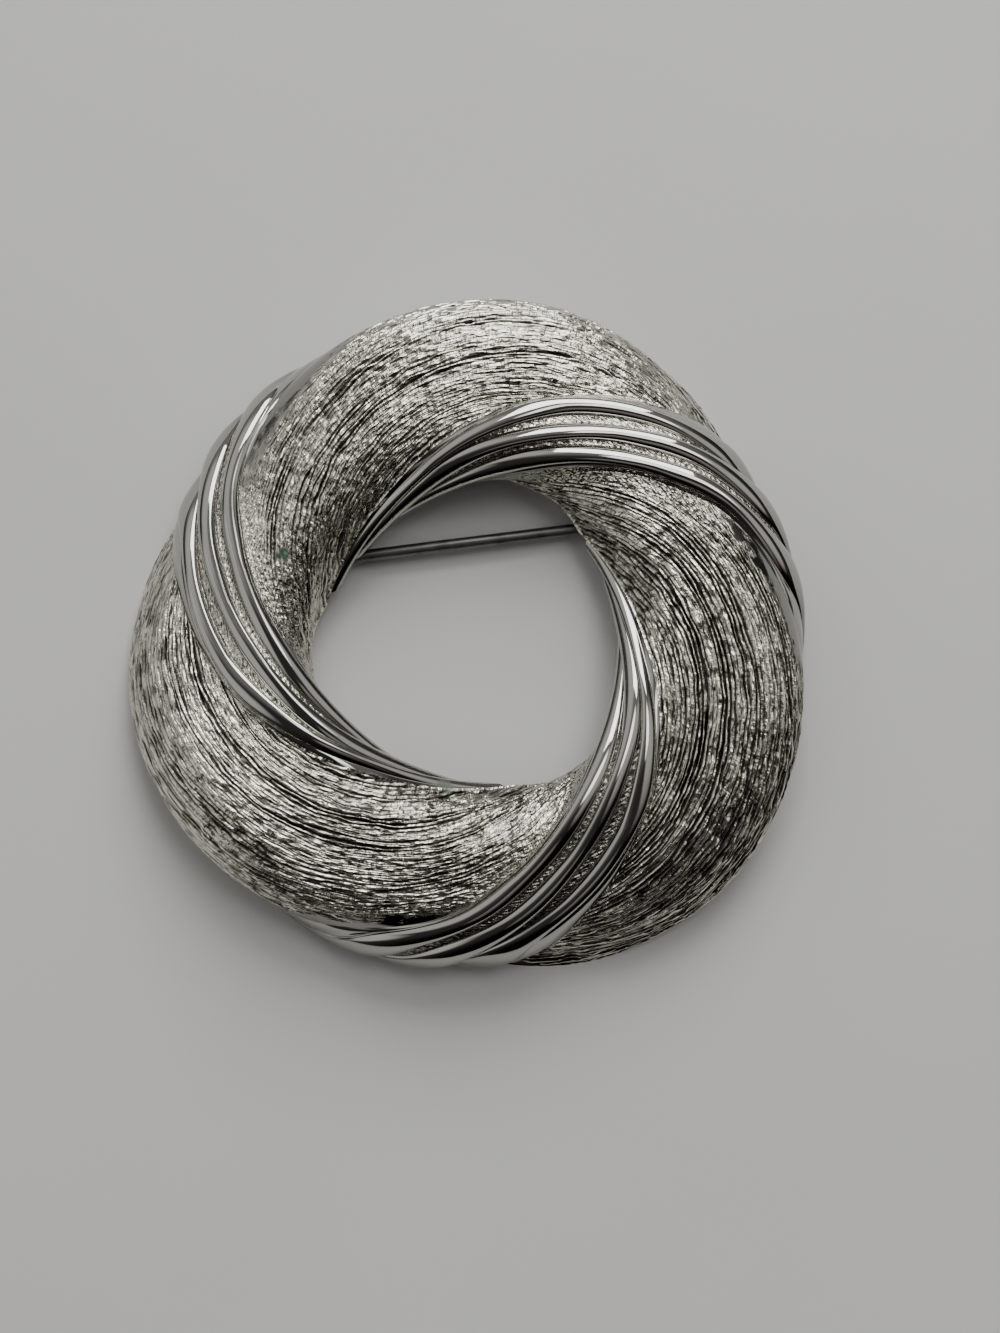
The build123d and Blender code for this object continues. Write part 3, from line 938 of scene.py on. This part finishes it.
def apply_modifiers(piece: Piece) -> None:
    """Applies all of a piece's modifiers in order."""
    only(piece)
    for modifier in list(piece.modifiers):
        bpy.ops.object.modifier_apply(modifier=modifier.name)


def cast_edges(piece: Piece, width: float, segments: int = 3) -> None:
    """Rounds a piece's edges as a casting's are, and shades it smooth."""
    bevel = piece.modifiers.new("rounding", "BEVEL")
    bevel.width = width
    bevel.segments = segments
    bevel.limit_method = "ANGLE"
    bevel.angle_limit = math.radians(35)
    apply_modifiers(piece)
    bpy.ops.object.shade_smooth_by_angle(angle=math.radians(40))


def block(name: str, size: Triple, centre: Triple) -> Piece:
    """Adds a cube primitive at its size and place."""
    bpy.ops.mesh.primitive_cube_add(size=1.0, location=centre)
    bpy.context.active_object.scale = size
    return settled(name)


def rod(name: str, radius: float, length: float, centre: Triple, turn: Triple,
        sides: int = 48) -> Piece:
    """Adds a cylinder primitive at its size and place."""
    bpy.ops.mesh.primitive_cylinder_add(vertices=sides, radius=radius, depth=length,
                                        location=centre, rotation=turn)
    return settled(name)


@dataclass
class Findings:
    """The hinge mount and the catch at the back."""

    pin_offset: float = 7.4 * MM
    pin_height: float = 1.2 * MM
    reach: float = 15.5 * MM
    eye_radius: float = 0.95 * MM
    post_clearance: float = 0.30 * MM
    post_top: float = 5.95 * MM
    ear_centre: float = 1.12 * MM
    ear_thickness: float = 0.80 * MM
    ear_length: float = 2.4 * MM
    ear_radius: float = 0.85 * MM
    catch_radius: float = 1.25 * MM
    catch_length: float = 3.0 * MM
    catch_height: float = 1.45 * MM
    slot_width: float = 1.30 * MM
    slot_top: float = 1.85 * MM
    catch_post_width: float = 2.0 * MM
    mouth_past: float = 1.0 * MM
    ear_edge: float = 0.10 * MM
    post_edge: float = 0.18 * MM
    catch_edge: float = 0.12 * MM

    def ear(self, side: int) -> Piece:
        """One ear: a disc about the rivet, drawn up into the post."""
        centre = (-self.reach, self.pin_offset + side * self.ear_centre, self.pin_height)
        piece = rod(f"ear_{side}", self.ear_radius, self.ear_thickness, centre,
                    (math.pi / 2, 0, 0))
        bpy.ops.object.mode_set(mode="EDIT")
        bpy.ops.mesh.select_all(action="DESELECT")
        bpy.ops.object.mode_set(mode="OBJECT")
        for vertex in piece.data.vertices:
            vertex.select = vertex.co.z > self.pin_height + 1e-6
        bpy.ops.object.mode_set(mode="EDIT")
        bpy.ops.transform.translate(value=(0, 0, self.eye_radius + self.post_clearance))
        bpy.ops.object.mode_set(mode="OBJECT")
        cast_edges(piece, self.ear_edge)
        return piece

    def hinge_mount(self) -> Piece:
        """The post with its two ears, as one casting."""
        foot = self.pin_height + self.eye_radius + self.post_clearance
        width = 2 * self.ear_centre + self.ear_thickness
        post = block("hinge_mount", (self.ear_length, width, self.post_top - foot),
                     (-self.reach, self.pin_offset, (self.post_top + foot) / 2))
        cast_edges(post, self.post_edge)
        only(post, self.ear(-1), self.ear(1))
        bpy.ops.object.join()
        return post

    def catch(self) -> Piece:
        """The round catch with its slot, on its post."""
        barrel = rod("catch", self.catch_radius, self.catch_length,
                     (self.reach, self.pin_offset, self.catch_height), (0, math.pi / 2, 0), 64)
        slot_middle = self.slot_top - self.slot_width / 2
        cutter = rod("slot_round", self.slot_width / 2, 2 * self.catch_length,
                     (self.reach, self.pin_offset, slot_middle), (0, math.pi / 2, 0))
        mouth = block("slot_mouth", (2 * self.catch_length, self.slot_width,
                                     slot_middle + self.mouth_past),
                      (self.reach, self.pin_offset, (slot_middle - self.mouth_past) / 2))
        post = block("catch_post", (self.catch_length, self.catch_post_width,
                                    self.post_top - self.catch_height),
                     (self.reach, self.pin_offset, (self.post_top + self.catch_height) / 2))
        for tool, operation in ((post, "UNION"), (cutter, "DIFFERENCE"), (mouth, "DIFFERENCE")):
            boolean = barrel.modifiers.new(tool.name, "BOOLEAN")
            boolean.object = tool
            boolean.operation = operation
            boolean.solver = "EXACT"
        apply_modifiers(barrel)
        for tool in (post, cutter, mouth):
            bpy.data.objects.remove(tool)
        cast_edges(barrel, self.catch_edge)
        return barrel


@dataclass(frozen=True)
class PhotoView:
    """The camera, which looks down on the brooch and leans back a little from its top."""

    metres_per_pixel: float = 0.0746 * MM
    frame_width: int = 1000
    frame_height: int = 1333
    ring_x: float = 474.5
    ring_y: float = 643.5
    distance: float = 180 * MM
    tilt: float = 7.0
    roll: float = 7.2
    sensor: float = 36.0

    def axes(self) -> tuple[Vector, Vector]:
        """The picture's right and the way back to the camera."""
        turn = math.radians(-self.roll)
        right = Vector((math.cos(turn), math.sin(turn), 0))
        north = Vector((-math.sin(turn), math.cos(turn), 0))
        tilt = math.radians(self.tilt)
        back = Vector((0, 0, 1)) * math.cos(tilt) - north * math.sin(tilt)
        return right, back

    def make(self) -> None:
        """Adds the camera."""
        right, back = self.axes()
        up = back.cross(right)
        shift_x = (self.frame_width / 2 - self.ring_x) * self.metres_per_pixel
        shift_y = (self.frame_height / 2 - self.ring_y) * self.metres_per_pixel
        target = right * shift_x - up * shift_y
        data = bpy.data.cameras.new("photo_view")
        half_height = self.frame_height * self.metres_per_pixel / 2
        data.sensor_width = self.sensor
        data.lens = self.sensor / 2 * self.distance / half_height
        data.clip_start = 0.01
        camera = put_in_scene("photo_view", data)
        camera.location = target + back * self.distance
        turned = np.array((right, up, back)).T
        camera.rotation_quaternion = Matrix(turned.tolist()).to_quaternion()
        bpy.context.scene.camera = camera


@dataclass(frozen=True)
class Glow:
    """A soft patch of the room, bright or dark.

    Attributes:
        bearing: Degrees in the picture, anticlockwise from its right.
        height: Degrees above the surface.
        edge: Cosine of the angle at which the patch ends.
        core: Cosine of the angle within which it is full.
        level: Its brightness, or the share of light that the dark patch takes.
    """

    bearing: float
    height: float
    edge: float
    core: float
    level: float


@dataclass
class Studio:
    """The pale surface, one soft window light and the dim room that the metal mirrors."""

    view: PhotoView
    floor_size: float = 1.2
    key_bearing: float = 78.0
    key_height: float = 38.0
    key_power: float = 2.0
    key_size: float = 0.34
    key_distance: float = 0.55
    base: float = 0.04
    glows: tuple[Glow, ...] = (
        Glow(100, 36, 0.50, 0.90, 0.22),
        Glow(40, 66, 0.972, 0.992, 3.20),
        Glow(5, 44, 0.88, 0.97, 0.56),
        Glow(135, 42, 0.86, 0.96, 0.40),
        Glow(192, 30, 0.84, 0.95, 0.62),
        Glow(290, 58, 0.96, 0.985, 0.40),
    )
    dim_side: Glow = Glow(295, 8, 0.35, 0.85, 0.90)
    warm_white: Colour = (1.0, 0.99, 0.965, 1.0)
    dim_red: Colour = (0.9, 0.62, 0.62, 1.0)

    def direction(self, bearing: float, height: float) -> Vector:
        """Unit vector towards a bearing in the picture and a height above the surface."""
        turn = math.radians(bearing - self.view.roll)
        lift = math.radians(height)
        return Vector((math.cos(turn) * math.cos(lift), math.sin(turn) * math.cos(lift),
                       math.sin(lift)))

    def spread(self, tree: Tree, glow: Glow) -> Sock:
        """Level of a patch of the room in each direction."""
        way = tree.node("TexCoord", {}, "Generated")
        axis = tuple(self.direction(glow.bearing, glow.height))
        towards = tree.node("VectorMath", {0: way, 1: axis}, "Value", operation="DOT_PRODUCT")
        return towards.rise(glow.edge, glow.core) * glow.level

    def floor(self, material: bpy.types.Material) -> Piece:
        """Adds the surface, in the plane of the brooch's back."""
        bpy.ops.mesh.primitive_plane_add(size=self.floor_size, location=(0, 0, 0))
        floor = bpy.context.active_object
        floor.name = "surface"
        floor.data.materials.append(material)
        return floor

    def window(self) -> None:
        """Adds the soft panel of light that faces the brooch."""
        out = self.direction(self.key_bearing, self.key_height)
        data = bpy.data.lights.new("window_light", "AREA")
        data.energy = self.key_power
        data.size = self.key_size
        light = put_in_scene("window_light", data)
        light.location = out * self.key_distance
        light.rotation_quaternion = out.to_track_quat("Z", "Y")

    def room(self) -> None:
        """Lights the world: bright to the picture's top, dim and reddish at its foot."""
        world = bpy.data.worlds.new("room")
        bpy.context.scene.world = world
        tree = Tree(world)
        level: Sock | float = self.base
        for glow in self.glows:
            level = self.spread(tree, glow) + level
        shade = self.spread(tree, self.dim_side)
        level = level * (1.0 - shade)
        colour = tree.mix(shade, self.warm_white, self.dim_red)
        sky = tree.node("Background", {"Color": colour, "Strength": level})
        tree.end(sky, "World")


def carry(piece: Piece, *materials: bpy.types.Material) -> None:
    """Puts a finished piece of the casting on its body and reports it."""
    for material in materials:
        piece.data.materials.append(material)
    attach(piece, "brooch")
    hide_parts("swirl_ring")
    log.info("%s: %d faces", piece.name, len(piece.data.polygons))


def main() -> None:
    """Builds the brooch, its light and its camera."""
    logging.basicConfig(level=logging.INFO, format="%(name)s %(message)s")
    bpy.ops.object.select_all(action="DESELECT")
    view = PhotoView()
    view.make()
    studio = Studio(view)
    studio.floor(PaleBoard().make())
    studio.window()
    studio.room()

    silver = WorkedSilver().make()
    back = CastBack().make()
    wire = DrawnWire().make()
    tube = TwistedTube()
    for number, work in enumerate(STRANDS):
        for kind, name, seed in ((Band, work.band, BAND_SEED), (Lobe, work.lobe, LOBE_SEED)):
            piece = kind(tube, name, number, work, seed + SEED_STEP * number).build()
            carry(piece, silver, back)
    findings = Findings()
    for piece in (findings.hinge_mount(), findings.catch()):
        carry(piece, back)
    for name in ("pin_stem", "hinge_rivet"):
        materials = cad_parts[name].data.materials
        materials.clear()
        materials.append(wire)


if __name__ == "__main__":
    main()
